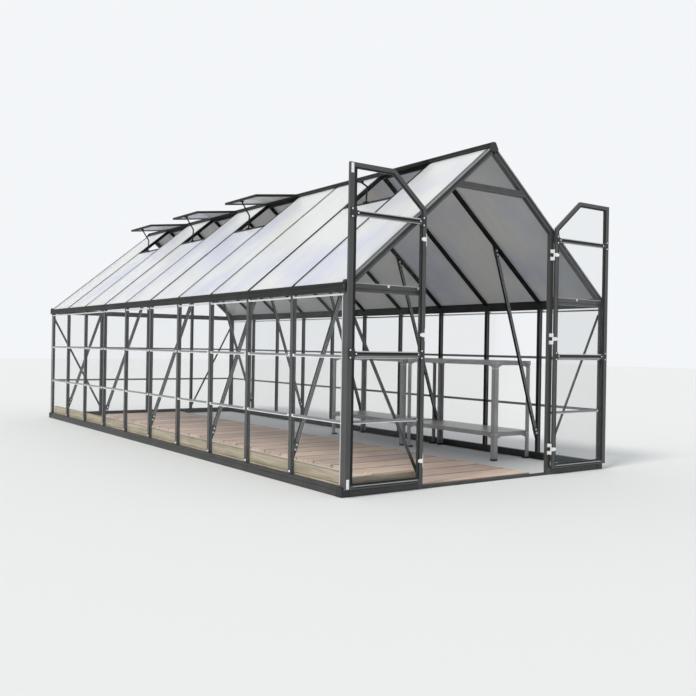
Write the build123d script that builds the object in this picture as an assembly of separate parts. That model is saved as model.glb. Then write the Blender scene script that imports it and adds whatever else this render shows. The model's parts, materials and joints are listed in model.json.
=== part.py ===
from build123d import *
from math import atan2, cos, degrees, hypot, pi, sin, tan
import os

os.makedirs("parts", exist_ok=True)

# Driving dimensions of the whole house, in millimetres
base_length = 6070.0            # front to back over the corner caps
base_width = 2440.0             # side to side over the corner caps
overall_height = 2304.0         # ground to the crest of the ridge
ridge_rise = 16.0               # crest above the meeting of the two outer roof lines
eave_height = 1286.0            # outer roof line above the side wall's face
side_bays = 10                  # equal bays along each side wall
lower_rail_height = 445.0       # centre of the lower joint strip
middle_rail_height = 838.0      # centre of the upper joint strip

# Base frame
base_height = 58.0
base_depth = 42.0
base_wall = 2.0
cap_proud = 3.0                 # corner caps stand this far outside the base strips
cap_size = 62.0
side_wall_inset = 18.0          # side wall's face behind the caps' face
threshold_height = 18.0
threshold_depth = 38.0

# Extrusions
post_width = 36.0
post_depth = 28.0
roof_bar_width = 30.0
roof_bar_depth = 30.0
rafter_width = 38.0
rafter_depth = 44.0
flange = 2.5
web = 2.2
neck = 16.0
strip_height = 20.0
tie_height = 54.0
transom_drop = 302.0            # peak of the outer roof lines to the centre of the gable transoms
transom_depth = 40.0
brace_width = 22.0
brace_thickness = 4.0
brace_end = 4.0                 # brace's end centre inside the post's inner edge
brace_drop = 60.0               # eave beam's underside to the brace's upper end
brace_foot = 36.0               # base to the brace's lower end
strut_width = 26.0
strut_depth = 20.0
strut_foot_height = 190.0       # centre of a knee strut on its wall post
strut_head_reach = 544.0        # wall face to the strut's head along X

# Glazing
wall_sheet = 2.0
roof_sheet = 4.0
sheet_gap = 0.3

# Gutter
gutter_bottom = 1230.0
gutter_lip_top = 1284.0
gutter_wall = 2.5
gutter_cap_thickness = 5.0

# Ridge
ridge_body_width = 28.0
ridge_body_drop = 62.0          # crest line down to the ridge's underside
ridge_wing = 30.0               # half width of the ridge's cover wings
hinge_bead = 4.5                # radius of the bead along each wing

# Roof vents, counted in bays from the front, with how far each stands open
vent_openings = {2: 20.0, 5: 33.0, 7: 33.0, 9: 33.0}
vent_sash_length = 446.0
vent_sash_thickness = 20.0
vent_member = 26.0
vent_sill_distance = 500.0      # ridge to the centre of the opening's lower bar
vent_sill_width = 28.0
prop_radius = 5.0
prop_rise = 118.0
prop_lean = 8.0                 # how far the elbow leans towards the ridge

# Double doors
door_half_opening = 587.0
door_hinge_out = 21.0           # hinge axis outside the opening's edge
door_pin_forward = 18.0         # hinge axis in front of the wall's face
door_back_gap = 8.0             # wall's face to a closed leaf's back
leaf_thickness = 16.0
leaf_member = 36.0
leaf_meeting_member = 54.0      # tall stile, with its recess beside the sheet
leaf_meeting_face = 34.0        # the tall stile's flat face
leaf_meeting_gap = 6.0
leaf_hinge_gap = 6.5
leaf_bottom = 46.0
leaf_top = 1994.0
leaf_flat = 342.0               # half width of the leaves' level top
leaf_lower_rail = 856.0
leaf_upper_rail = 1695.0
leaf_crossbar_height = 34.0
groove_depth = 10.0
hinge_heights = (185.0, 980.0, 1585.0)
hinge_knuckle = 26.0
hinge_radius = 5.0
hinge_pin_radius = 2.5
hinge_plate = 2.0
hinge_plate_width = 24.0
bracket_thickness = 3.0
bracket_height = 62.0
bracket_margin = 9.0            # bare stile outside a bracket
bracket_tongue = 14.0           # bracket's reach onto the crossbar
bolt_length = 58.0              # sliding bolts at both ends of the left leaf's meeting stile
bolt_width = 20.0
bolt_thickness = 7.0

# Benches and floor
bench_top_height = 807.0
bench_lower_height = 231.0
bench_depth = 405.0
bench_leg = 40.0
bench_rim = 36.0
bench_sheet = 2.0
bench_overhang = 3.0            # the top's folded edge outside the legs
deck_thickness = 22.0
deck_left = -578.0
deck_right = 452.0
bed_board_height = 140.0
front_board_height = 104.0
board_thickness = 30.0

# Derived places
half_width = base_width / 2
wall_x = half_width - side_wall_inset
roof_apex = overall_height - ridge_rise
transom_height = roof_apex - transom_drop
pitch = atan2(roof_apex - eave_height, wall_x)
front_reach = 2 * door_pin_forward - door_back_gap + bolt_thickness - cap_proud
back_reach = gutter_cap_thickness - cap_proud
base_front = -(base_length + back_reach - front_reach) / 2
base_back = base_front + base_length
front_y = base_front + cap_proud
back_y = base_back - cap_proud
middle_y = (front_y + back_y) / 2
bay_pitch = (back_y - front_y - post_width) / side_bays
bay_lines = [front_y + post_width / 2 + index * bay_pitch for index in range(side_bays + 1)]
hinge_x = door_half_opening + door_hinge_out
hinge_y = front_y - door_pin_forward
wall_slot = wall_sheet + 2 * sheet_gap
roof_slot = roof_sheet + 2 * sheet_gap
inner_x = wall_x - post_depth


def roof_z(x, depth=0.0):
    """Height of the plane that lies depth below the outer roof line."""
    return roof_apex - tan(pitch) * abs(x) - depth / cos(pitch)


def on_slope(distance, depth=0.0):
    """Point on the left slope, a distance down from the ridge line."""
    x = -distance * cos(pitch) - depth * -sin(pitch)
    z = roof_apex - distance * sin(pitch) - depth * cos(pitch)
    return x, z


def slab(x0, x1, y0, y1, z0, z1):
    """Box between two corners."""
    box = Box(abs(x1 - x0), abs(y1 - y0), abs(z1 - z0))
    return Pos((x0 + x1) / 2, (y0 + y1) / 2, (z0 + z1) / 2) * box


def run(section, start, end, side):
    """Section drawn with its x along side, extruded from start to end."""
    path = Vector(*end) - Vector(*start)
    plane = Plane(origin=start, x_dir=side, z_dir=path)
    return extrude(plane * section, path.length)


def along_y(points, y0, y1):
    """Solid whose outline in X and Z is given by points."""
    face = make_face(Polyline(*[(x, y0, z) for x, z in points], close=True))
    return extrude(face, abs(y1 - y0), dir=(0, 1 if y1 > y0 else -1, 0))


def along_x(points, x0, x1):
    """Solid whose outline in Y and Z is given by points."""
    face = make_face(Polyline(*[(x0, y, z) for y, z in points], close=True))
    return extrude(face, abs(x1 - x0), dir=(1 if x1 > x0 else -1, 0, 0))


def across(shape):
    """The same piece on the other side of the house."""
    return mirror(shape, about=Plane.YZ)


def end_for_end(shape):
    """The same piece at the other gable."""
    return mirror(shape, about=Plane(origin=(0, middle_y, 0), z_dir=(0, 1, 0)))


def glazing_section(width, depth, slot):
    """Bar with a cover flange, a neck with a glazing slot each side and two inner legs."""
    half = width / 2
    inner = flange + slot
    leg = half - 3.0
    right = [
        (half, 0), (half, flange), (neck / 2, flange), (neck / 2, inner),
        (half, inner), (half, inner + web), (leg, inner + web), (leg, depth),
        (leg - web, depth), (leg - web, inner + web),
    ]
    left = [(-u, v) for u, v in reversed(right)]
    return make_face(Polyline(*right, *left, close=True))


def channel_section(width, depth, wall):
    """Open channel, closed towards v = 0."""
    half = width / 2
    points = [
        (-half, 0), (half, 0), (half, depth), (half - wall, depth),
        (half - wall, wall), (wall - half, wall), (wall - half, depth), (-half, depth),
    ]
    return make_face(Polyline(*points, close=True))


def pieces(shapes):
    """One node from solids that don't touch."""
    solids = []
    for shape in shapes:
        solids.extend(shape.solids())
    return Compound(children=solids)


# Base frame: folded strips, corner caps and the low doorway threshold
def base_strip_points(face, inward):
    lower = base_height * 0.62
    outer = face
    inner = face + inward * base_depth
    step = face + inward * 5.0
    return [
        (outer, 0), (outer, lower), (step, lower), (step, base_height), (inner, base_height),
        (inner, base_height - base_wall), (step + inward * base_wall, base_height - base_wall),
        (step + inward * base_wall, lower - base_wall), (outer + inward * base_wall, lower - base_wall),
        (outer + inward * base_wall, base_wall), (inner, base_wall), (inner, 0),
    ]


def base_strips():
    strip_x = half_width - cap_proud
    side = along_y(base_strip_points(-strip_x, 1), base_front + cap_size, base_back - cap_size)
    rear = along_x(base_strip_points(back_y, -1), cap_size - half_width, half_width - cap_size)
    front = along_x(
        base_strip_points(front_y, 1), cap_size - half_width, -door_half_opening - post_width
    )
    return pieces([side, across(side), rear, front, across(front)])


def corner_caps():
    cap = slab(-half_width, cap_size - half_width, base_front, base_front + cap_size, 0, base_height)
    cap = chamfer(cap.edges().filter_by(Axis.Z).sort_by(Axis.X)[:1], 6.0)
    right = across(cap)
    return pieces([cap, right, end_for_end(cap), end_for_end(right)])


def threshold():
    points = [
        (front_y, 0), (front_y, threshold_height - 6), (front_y + 6, threshold_height),
        (front_y + 16, threshold_height), (front_y + 22, threshold_height - 8),
        (front_y + threshold_depth, threshold_height - 8), (front_y + threshold_depth, 0),
    ]
    return along_x(points, -door_half_opening + 0.3, door_half_opening - 0.3)


# Posts, held at their heads by the eave beams and the gable rafters
def corner_posts():
    core = post_depth
    arm = post_width + 4
    lip = flange + wall_slot
    section = Rectangle(arm, flange, align=Align.MIN) + Rectangle(flange, arm, align=Align.MIN)
    section += Pos(0, 0) * Rectangle(core, core, align=Align.MIN)
    section += Pos(0, lip) * Rectangle(arm, web, align=Align.MIN)
    section += Pos(lip, 0) * Rectangle(web, arm, align=Align.MIN)
    section -= Pos(lip + web, lip + web) * Rectangle(
        core - lip - 2 * web, core - lip - 2 * web, align=Align.MIN
    )
    post = extrude(section, gutter_bottom - base_height)
    post = Pos(-wall_x, front_y, base_height) * post
    right = across(post)
    return pieces([post, right, end_for_end(post), end_for_end(right)])


def side_posts():
    section = glazing_section(post_width, post_depth, wall_slot)
    posts = []
    for y in bay_lines[1:-1]:
        post = run(section, (-wall_x, y, base_height), (-wall_x, y, gutter_bottom), (0, -1, 0))
        posts.extend([post, across(post)])
    return pieces(posts)


def door_posts():
    section = channel_section(post_width, post_depth, web + 0.8)
    x = -door_half_opening - post_width / 2
    post = run(section, (x, front_y, 0), (x, front_y, roof_apex), (1, 0, 0))
    post = trim_under_rafter(post, front_y)
    return pieces([post, across(post)])


def trim_under_rafter(shape, y, gap=0.0):
    """Cuts what rises above the underside of the gable rafters on the left slope."""
    reach = half_width + 100
    points = [
        (0, roof_z(0, rafter_depth) - gap), (-reach, roof_z(reach, rafter_depth) - gap),
        (-reach, roof_apex + 400), (reach, roof_apex + 400), (reach, roof_z(reach, rafter_depth) - gap),
    ]
    cutter = along_y(points, y - 100, y + 200)
    return shape - cutter


def back_gable_posts():
    """Upright bars of the back gable, below and above its tie."""
    section = glazing_section(post_width, post_depth, wall_slot)
    above = gutter_bottom + tie_height
    posts = []
    for x, top in ((-wall_x / 2, roof_apex), (0.0, transom_height - transom_depth / 2)):
        posts.append(run(section, (x, front_y, base_height), (x, front_y, gutter_bottom), (1, 0, 0)))
        stud = run(section, (x, front_y, above), (x, front_y, top), (1, 0, 0))
        posts.append(trim_under_rafter(stud, front_y))
    posts.extend([across(posts[0]), across(posts[1])])
    return pieces([end_for_end(post) for post in posts])


# Horizontal members
def strip_section():
    half = strip_height / 2
    inner = flange + wall_slot
    right = [
        (half, 0.5), (half, flange), (2.0, flange), (2.0, inner), (half, inner), (half, inner + web),
    ]
    left = [(-u, v) for u, v in reversed(right)]
    return make_face(Polyline(*right, *left, close=True))


def side_rails():
    section = strip_section()
    rails = []
    for index in range(side_bays):
        start = bay_lines[index] + (post_width / 2 if index else post_width / 2 + 4)
        stop = bay_lines[index + 1] - (post_width / 2 if index < side_bays - 1 else post_width / 2 + 4)
        for z in (lower_rail_height, middle_rail_height):
            rail = run(section, (-wall_x, start, z), (-wall_x, stop, z), (0, 0, 1))
            rails.extend([rail, across(rail)])
    return pieces(rails)


def gable_rails():
    section = strip_section()
    outer = post_width + 4 - wall_x
    middle = -wall_x / 2
    half = post_width / 2
    front_span = (outer, -door_half_opening - post_width)
    back_spans = ((outer, middle - half), (middle + half, -half))
    rails = []
    for z in (lower_rail_height, middle_rail_height):
        rails.append(run(section, (front_span[0], front_y, z), (front_span[1], front_y, z), (0, 0, -1)))
        for start, stop in back_spans:
            rail = run(section, (start, front_y, z), (stop, front_y, z), (0, 0, -1))
            rails.append(end_for_end(rail))
    return pieces(rails + [across(rail) for rail in rails])


def tie_section():
    """Deep hollow tie with two grooves along its face."""
    half = tie_height / 2
    outer = [
        (-half, 0), (-8, 0), (-8, 2.5), (-4, 2.5), (-4, 0),
        (half, 0), (half, post_depth), (-half, post_depth),
    ]
    body = make_face(Polyline(*outer, close=True))
    hollow = Pos(0, post_depth / 2 + 1) * Rectangle(tie_height - 6, post_depth - 9)
    return body - hollow


def tie_beams():
    """Ties in the outer front bays and one from side to side at the back."""
    z = gutter_bottom + tie_height / 2
    stop = -door_half_opening - post_width
    ties = []
    for end in (stop, inner_x):
        tie = run(tie_section(), (-inner_x, front_y, z), (end, front_y, z), (0, 0, -1))
        ties.append(trim_under_rafter(tie, front_y))
    front, back = ties
    return pieces([front, across(front), end_for_end(back)])


def transoms():
    half = transom_depth / 2
    top = transom_height + half
    bottom = transom_height - half
    high = (roof_apex - rafter_depth / cos(pitch) - top) / tan(pitch)
    low = (roof_apex - rafter_depth / cos(pitch) - bottom) / tan(pitch)
    points = [(-high, top), (high, top), (low, bottom), (-low, bottom)]
    bar = along_y(points, front_y, front_y + rafter_width)
    bar -= slab(-low, low, front_y, front_y + 2.5, transom_height - 3, transom_height + 3)
    return pieces([bar, end_for_end(bar)])


# Gutters with their eave beams
def gutter_points():
    face = -wall_x
    lip = -half_width
    step = lip + 3.0
    back = face + post_depth
    seat = flange + roof_slot
    return [
        (back, gutter_bottom), (lip, gutter_bottom), (lip, gutter_bottom + 20),
        (step, gutter_bottom + 23), (step, gutter_bottom + 35), (lip, gutter_bottom + 38),
        (lip, gutter_lip_top), (lip + 6, gutter_lip_top), (lip + 6, gutter_lip_top - 2),
        (step + gutter_wall, gutter_lip_top - 2), (step + gutter_wall, gutter_bottom + gutter_wall),
        (face, gutter_bottom + gutter_wall), (face, roof_z(face, seat)), (back, roof_z(back, seat)),
    ]


def gutters():
    body = along_y(gutter_points(), front_y, back_y)
    face = -wall_x + gutter_wall
    back = -inner_x - gutter_wall
    seat = flange + roof_slot + gutter_wall
    hollow = along_y(
        [(face, gutter_bottom + gutter_wall), (back, gutter_bottom + gutter_wall),
         (back, roof_z(back, seat)), (face, roof_z(face, seat))],
        front_y, back_y,
    )
    gutter = body - hollow
    return pieces([gutter, across(gutter)])


def gutter_end_caps():
    bottom = gutter_bottom - 2
    top = gutter_lip_top + 2
    points = Polyline(
        (-half_width, front_y, top - 14), (-half_width, front_y, bottom + 8),
        (-half_width + 10, front_y, bottom), (-wall_x + 8, front_y, bottom),
        (-wall_x + 8, front_y, top), (-half_width + 14, front_y, top), close=True,
    )
    cap = extrude(make_face(points), gutter_cap_thickness, dir=(0, -1, 0))
    right = across(cap)
    return pieces([cap, right, end_for_end(cap), end_for_end(right)])


# Ridge
def bead_place():
    """Centre of the round bead that rests on the roof along the right wing's edge."""
    x = ridge_wing + hinge_bead / 2
    return x, roof_z(x, -hinge_bead)


def ridge_beam():
    half = ridge_body_width / 2
    crest = 8.0
    wing_top = -flange
    right = [
        (0, overall_height), (crest, overall_height), (crest, roof_z(crest, wing_top)),
        (ridge_wing, roof_z(ridge_wing, wing_top)), (ridge_wing, roof_z(ridge_wing)),
        (half, roof_z(half)), (half, overall_height - ridge_body_drop),
    ]
    left = [(-x, z) for x, z in reversed(right[1:])]
    body = along_y(right + left, front_y, back_y)
    hollow_top = roof_z(half) - 6
    hollow = slab(
        web - half, half - web, front_y, back_y, overall_height - ridge_body_drop + web, hollow_top
    )
    bead_x, bead_z = bead_place()
    bead = Cylinder(hinge_bead, back_y - front_y, rotation=(90, 0, 0))
    bead = Pos(bead_x, middle_y, bead_z) * bead
    return body - hollow + bead + across(bead)


def ridge_end_caps():
    half = ridge_wing + 8
    drop = overall_height - ridge_body_drop - 3
    points = [
        (0, overall_height), (14, overall_height - 2), (half, roof_z(half, -4)), (half, roof_z(half, 16)),
        (18, drop + 4), (14, drop), (-14, drop), (-18, drop + 4), (-half, roof_z(half, 16)),
        (-half, roof_z(half, -4)), (-14, overall_height - 2),
    ]
    cap = along_y(points, front_y - gutter_cap_thickness, front_y)
    return pieces([cap, end_for_end(cap)])


# Roof members on the left slope
def slope_run(section, y, top_gap, foot_x, depth=0.0):
    """Bar that follows the left slope from the ridge's side to foot_x."""
    beyond = 60.0
    x0, z0 = on_slope(-beyond, depth)
    length = (half_width + 100) / cos(pitch)
    x1, z1 = on_slope(length, depth)
    bar = run(section, (x1, y, z1), (x0, y, z0), (0, -1, 0))
    bar = split(bar, bisect_by=Plane(origin=(-top_gap, 0, 0), z_dir=(1, 0, 0)), keep=Keep.BOTTOM)
    return split(bar, bisect_by=Plane(origin=(foot_x, 0, 0), z_dir=(1, 0, 0)), keep=Keep.TOP)


def eave_cope(y0, y1):
    """What the eave beam takes out of a roof member's foot."""
    far = -half_width - 60
    seat = flange + roof_slot
    points = [
        (-inner_x, roof_z(inner_x, seat)), (far, roof_z(far, seat)), (far, gutter_bottom - 200),
        (-inner_x, gutter_bottom - 200),
    ]
    return along_y(points, y0, y1)


def roof_bars():
    section = glazing_section(roof_bar_width, roof_bar_depth, roof_slot)
    bar = slope_run(section, 0.0, ridge_body_width / 2, -wall_x - 4)
    bar = bar - eave_cope(-roof_bar_width, roof_bar_width)
    bars = [Pos(0, y, 0) * bar for y in bay_lines[1:-1]]
    return pieces(bars + [across(bar) for bar in bars])


def rafter_section():
    """Deep gable rafter with a sheet slot on the house side and two face grooves."""
    half = rafter_width / 2
    inner = flange + roof_slot
    outer = [
        (-half, 0), (half, 0), (half, flange), (half - 9, flange), (half - 9, inner), (half, inner),
        (half, inner + web), (half - 4, inner + web), (half - 4, rafter_depth), (-half, rafter_depth),
        (-half, rafter_depth * 0.62), (2 - half, rafter_depth * 0.58), (2 - half, rafter_depth * 0.42),
        (-half, rafter_depth * 0.38),
    ]
    return make_face(Polyline(*outer, close=True))


def gable_rafters():
    y = front_y + rafter_width / 2
    section = mirror(rafter_section(), about=Plane.YZ)
    left = slope_run(section, y, ridge_body_width / 2, -wall_x - 4)
    left -= eave_cope(front_y - 50, front_y + 100)
    right = across(left)
    return pieces([left, right, end_for_end(left), end_for_end(right)])


# Glazing
def side_wall_panes():
    start_depth = flange + sheet_gap
    x0 = -wall_x + start_depth
    x1 = x0 + wall_sheet
    edge = neck / 2 + sheet_gap
    panes = []
    for index in range(side_bays):
        y0 = bay_lines[index] + edge
        y1 = bay_lines[index + 1] - edge
        if index == 0:
            y0 = front_y + post_depth + sheet_gap
        if index == side_bays - 1:
            y1 = back_y - post_depth - sheet_gap
        for z0, z1 in wall_levels():
            pane = slab(x0, x1, y0, y1, z0, z1)
            panes.extend([pane, across(pane)])
    return pieces(panes)


def wall_levels():
    web_half = 2.0 + sheet_gap
    return (
        (base_height + sheet_gap, lower_rail_height - web_half),
        (lower_rail_height + web_half, middle_rail_height - web_half),
        (middle_rail_height + web_half, gutter_bottom - sheet_gap),
    )


def gable_wall_panes():
    y0 = front_y + flange + sheet_gap
    outer = post_depth + sheet_gap - wall_x
    middle = -wall_x / 2
    edge = neck / 2 + sheet_gap
    panes = []
    for z0, z1 in wall_levels():
        panes.append(slab(outer, -door_half_opening - post_width - sheet_gap, y0, y0 + wall_sheet, z0, z1))
        for x0, x1 in ((outer, middle - edge), (middle + edge, -edge)):
            panes.append(end_for_end(slab(x0, x1, y0, y0 + wall_sheet, z0, z1)))
    return pieces(panes + [across(pane) for pane in panes])


def gable_pane(x0, x1, z0, z1, y):
    pane = slab(x0, x1, y, y + wall_sheet, z0, z1)
    return trim_under_rafter(pane, y, sheet_gap)


def gable_panes():
    """Sheets above the ties: the outer bays, and the ones over the transoms."""
    y = front_y + flange + sheet_gap
    above_tie = gutter_bottom + tie_height + sheet_gap
    above_transom = transom_height + transom_depth / 2 + sheet_gap
    below_transom = transom_height - transom_depth / 2 - sheet_gap
    edge = neck / 2 + sheet_gap
    middle = -wall_x / 2
    front = gable_pane(-wall_x + 8, -door_half_opening - post_width - sheet_gap, above_tie, roof_apex, y)
    top = gable_pane(-wall_x, wall_x, above_transom, roof_apex, y)
    outer = end_for_end(gable_pane(-wall_x + 8, middle - edge, above_tie, roof_apex, y))
    inner = end_for_end(gable_pane(middle + edge, -edge, above_tie, below_transom, y))
    return pieces([
        front, across(front), top, outer, across(outer), inner, across(inner), end_for_end(top),
    ])


def slope_sheet(y0, y1, near, far):
    """Roof sheet on the left slope between two distances from the ridge."""
    top = flange + sheet_gap
    low = top + roof_sheet
    points = [on_slope(near, top), on_slope(far, top), on_slope(far, low), on_slope(near, low)]
    return along_y(points, y0, y1)


def sheet_span(index):
    edge = neck / 2 + sheet_gap
    y0 = bay_lines[index] + edge
    y1 = bay_lines[index + 1] - edge
    if index == 0:
        y0 = front_y + rafter_width - 9 + sheet_gap
    if index == side_bays - 1:
        y1 = back_y - rafter_width + 9 - sheet_gap
    return y0, y1


def roof_sheets(vents):
    top = (ridge_body_width / 2 + 6) / cos(pitch)
    foot = (wall_x + 8) / cos(pitch)
    sheets = []
    for index in range(side_bays):
        y0, y1 = sheet_span(index)
        near = top
        if index + 1 in vents:
            near = vent_sill_distance + vent_sill_width / 2 + sheet_gap
        sheets.append(slope_sheet(y0, y1, near, foot))
    return pieces(sheets)


# Roof vents on the left slope
def vent_sills():
    sills = []
    near = vent_sill_distance - vent_sill_width / 2
    far = vent_sill_distance + vent_sill_width / 2
    for bay in vent_openings:
        y0 = bay_lines[bay - 1] + roof_bar_width / 2
        y1 = bay_lines[bay] - roof_bar_width / 2
        points = [on_slope(near), on_slope(far), on_slope(far, 22), on_slope(near, 22)]
        sills.append(along_y(points, y0, y1))
    return pieces(sills)


def sash_angle(opening):
    return pitch - opening * pi / 180


def sash_place(bay, distance, height):
    """Point on an open sash, from its hinge line outward and above its middle."""
    x, z = bead_place()
    angle = sash_angle(vent_openings[bay])
    lift = vent_sash_thickness / 2 + flange
    height = height + lift
    out_x = distance * cos(angle) + height * sin(angle)
    return -x - out_x, z - distance * sin(angle) + height * cos(angle)


def sash_slab(bay, y0, y1, near, far, low, high):
    points = [
        sash_place(bay, near, low), sash_place(bay, far, low),
        sash_place(bay, far, high), sash_place(bay, near, high),
    ]
    return along_y(points, y0, y1)


def vent_span(bay):
    return bay_lines[bay - 1] + 4.0, bay_lines[bay] - 4.0


def vent_sashes():
    half = vent_sash_thickness / 2
    frames = []
    for bay in vent_openings:
        y0, y1 = vent_span(bay)
        near = hinge_bead + sheet_gap
        far = near + vent_sash_length
        ring = sash_slab(bay, y0, y1, near, far, -half, half)
        ring -= sash_slab(
            bay, y0 + vent_member, y1 - vent_member, near + vent_member, far - vent_member, -half, half
        )
        ring -= sash_slab(
            bay, y0 + vent_member - groove_depth, y1 - vent_member + groove_depth,
            near + vent_member - groove_depth, far - vent_member + groove_depth,
            -roof_slot / 2, roof_slot / 2,
        )
        leaf = sash_slab(bay, y0, y1, near, near + 8, -half - flange - 2, -half)
        frames.append(ring + leaf)
    return pieces(frames)


def vent_panes():
    panes = []
    for bay in vent_openings:
        y0, y1 = vent_span(bay)
        near = hinge_bead + sheet_gap
        far = near + vent_sash_length
        reach = vent_member - groove_depth + sheet_gap
        panes.append(sash_slab(
            bay, y0 + reach, y1 - reach, near + reach, far - reach, -roof_sheet / 2, roof_sheet / 2
        ))
    return pieces(panes)


def rod(start, end, radius):
    path = Vector(*end) - Vector(*start)
    plane = Plane(origin=start, z_dir=path)
    return extrude(plane * Circle(radius), path.length)


def vent_props():
    props = []
    for bay in vent_openings:
        y = (bay_lines[bay - 1] + bay_lines[bay]) / 2
        foot_x, foot_z = on_slope(vent_sill_distance, -prop_radius - sheet_gap)
        reach = vent_sash_length - vent_member / 2
        head_x, head_z = sash_place(bay, reach, -vent_sash_thickness / 2 - prop_radius - sheet_gap)
        foot = (foot_x, y, foot_z)
        elbow = (foot_x + prop_lean, y, foot_z + prop_rise)
        head = (head_x, y, head_z)
        prop = rod(foot, elbow, prop_radius) + rod(elbow, head, prop_radius)
        for joint in (foot, elbow, head):
            prop += Pos(*joint) * Sphere(prop_radius)
        props.append(prop)
    return pieces(props)


# Struts and braces
def knee_struts():
    section = channel_section(strut_depth, strut_width, web)
    head_x = -wall_x + strut_head_reach
    head_z = roof_z(head_x, roof_bar_depth)
    foot_x = -inner_x
    lean = atan2(head_x - foot_x, head_z - strut_foot_height)
    start = (foot_x - 100 * sin(lean), 0, strut_foot_height - 100 * cos(lean))
    end = (head_x + 100 * sin(lean), 0, head_z + 100 * cos(lean))
    bar = run(Pos(0, -strut_width / 2) * section, start, end, (0, -1, 0))
    bar = split(bar, bisect_by=Plane(origin=(foot_x, 0, 0), z_dir=(1, 0, 0)), keep=Keep.TOP)
    roof = Plane(origin=(head_x, 0, head_z), z_dir=(-sin(pitch), 0, cos(pitch)))
    bar = split(bar, bisect_by=roof, keep=Keep.BOTTOM)
    struts = [Pos(0, y, 0) * bar for y in bay_lines[1:-1:2]]
    return pieces(struts + [across(strut) for strut in struts])


def gable_braces():
    """Flat braces across the outer front bays and the outer back bays."""
    section = Rectangle(brace_width, brace_thickness)
    y = front_y + post_depth + brace_thickness / 2
    top = (-inner_x - brace_end, y, gutter_bottom - brace_drop)
    foot = (-door_half_opening - post_width / 2, y, base_height + brace_foot)
    front = run(section, foot, top, (0, 0, 1))
    foot_back = (-wall_x / 2, y, base_height + brace_foot)
    back = end_for_end(run(section, foot_back, top, (0, 0, 1)))
    return pieces([front, across(front), back, across(back)])


# Double doors, drawn closed and hung open
def leaf_outline(inset, meeting_inset):
    """Closed left leaf's outline, from the meeting edge to the hinge edge."""
    meet = -leaf_meeting_gap / 2 - meeting_inset
    edge = -hinge_x + leaf_hinge_gap + inset
    drop = inset / cos(pitch)
    slope_at_edge = leaf_top - (abs(edge) - leaf_flat) * tan(pitch) - drop
    knee = leaf_flat - (drop - inset) / tan(pitch)
    return [
        (meet, leaf_bottom + inset), (meet, leaf_top - inset), (-knee, leaf_top - inset),
        (edge, slope_at_edge), (edge, leaf_bottom + inset),
    ]


leaf_back = front_y - door_back_gap
leaf_face = leaf_back - leaf_thickness


def opened(shape):
    """Turns a closed leaf's piece half a turn about its hinge."""
    axis = Axis((-hinge_x, hinge_y, 0), (0, 0, 1))
    return shape.rotate(axis, -180)


def leaf_frame():
    ring = along_y(leaf_outline(0, 0), leaf_face, leaf_back)
    ring -= along_y(leaf_outline(leaf_member, leaf_meeting_member), leaf_face, leaf_back)
    middle = (leaf_face + leaf_back) / 2
    half_slot = wall_slot / 2
    groove = leaf_outline(leaf_member - groove_depth, leaf_meeting_member - groove_depth)
    recess = leaf_outline(leaf_member - groove_depth, leaf_meeting_face)
    ring -= along_y(groove, middle - half_slot, middle + half_slot)
    ring -= along_y(recess, leaf_face, leaf_face + 3)
    ring -= along_y(recess, leaf_back - 3, leaf_back)
    return opened(ring)


def leaf_crossbars():
    meet = -leaf_meeting_gap / 2 - leaf_meeting_member
    edge = -hinge_x + leaf_hinge_gap + leaf_member
    half = leaf_crossbar_height / 2
    core = half - groove_depth
    face = leaf_face + 1
    back = leaf_back - 1
    near = (leaf_face + leaf_back - wall_slot) / 2
    far = near + wall_slot
    bars = []
    for z in (leaf_lower_rail, leaf_upper_rail):
        bar = slab(edge, meet, face, back, z - half, z + half)
        bar -= slab(edge, meet, near, far, z + core, z + half)
        bar -= slab(edge, meet, near, far, z - half, z - core)
        bar -= slab(edge, meet, face, face + 2, z - 3, z + 3)
        bar -= slab(edge, meet, back - 2, back, z - 3, z + 3)
        bars.append(opened(bar))
    return pieces(bars)


def leaf_panes():
    middle = (leaf_face + leaf_back) / 2
    edge = sheet_gap - groove_depth
    sheet = along_y(
        leaf_outline(leaf_member + edge, leaf_meeting_member + edge),
        middle - wall_sheet / 2, middle + wall_sheet / 2,
    )
    core = leaf_crossbar_height / 2 + edge
    for z in (leaf_lower_rail, leaf_upper_rail):
        sheet = sheet - slab(-hinge_x, 0, leaf_face, leaf_back, z - core, z + core)
    return opened(sheet)


def leaf_hinges():
    """Leaf's hinge plates: a middle knuckle, an arm and a plate round the stile."""
    plates = []
    edge = -hinge_x + leaf_hinge_gap
    for z in hinge_heights:
        low = z - hinge_knuckle / 2
        knuckle = Pos(-hinge_x, hinge_y, z) * Cylinder(hinge_radius, hinge_knuckle)
        arm = slab(
            -hinge_x, edge, hinge_y - hinge_plate / 2, hinge_y + hinge_plate / 2, low, low + hinge_knuckle
        )
        wrap = slab(edge - hinge_plate, edge, leaf_face, leaf_back, low, low + hinge_knuckle)
        plate = slab(
            edge - hinge_plate, edge + hinge_plate_width, leaf_back, leaf_back + hinge_plate, low,
            low + hinge_knuckle,
        )
        bore = Pos(-hinge_x, hinge_y, z) * Cylinder(hinge_pin_radius + 0.05, hinge_knuckle + 2)
        plates.append(opened(knuckle + wrap + plate + arm - bore))
    return pieces(plates)


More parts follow.
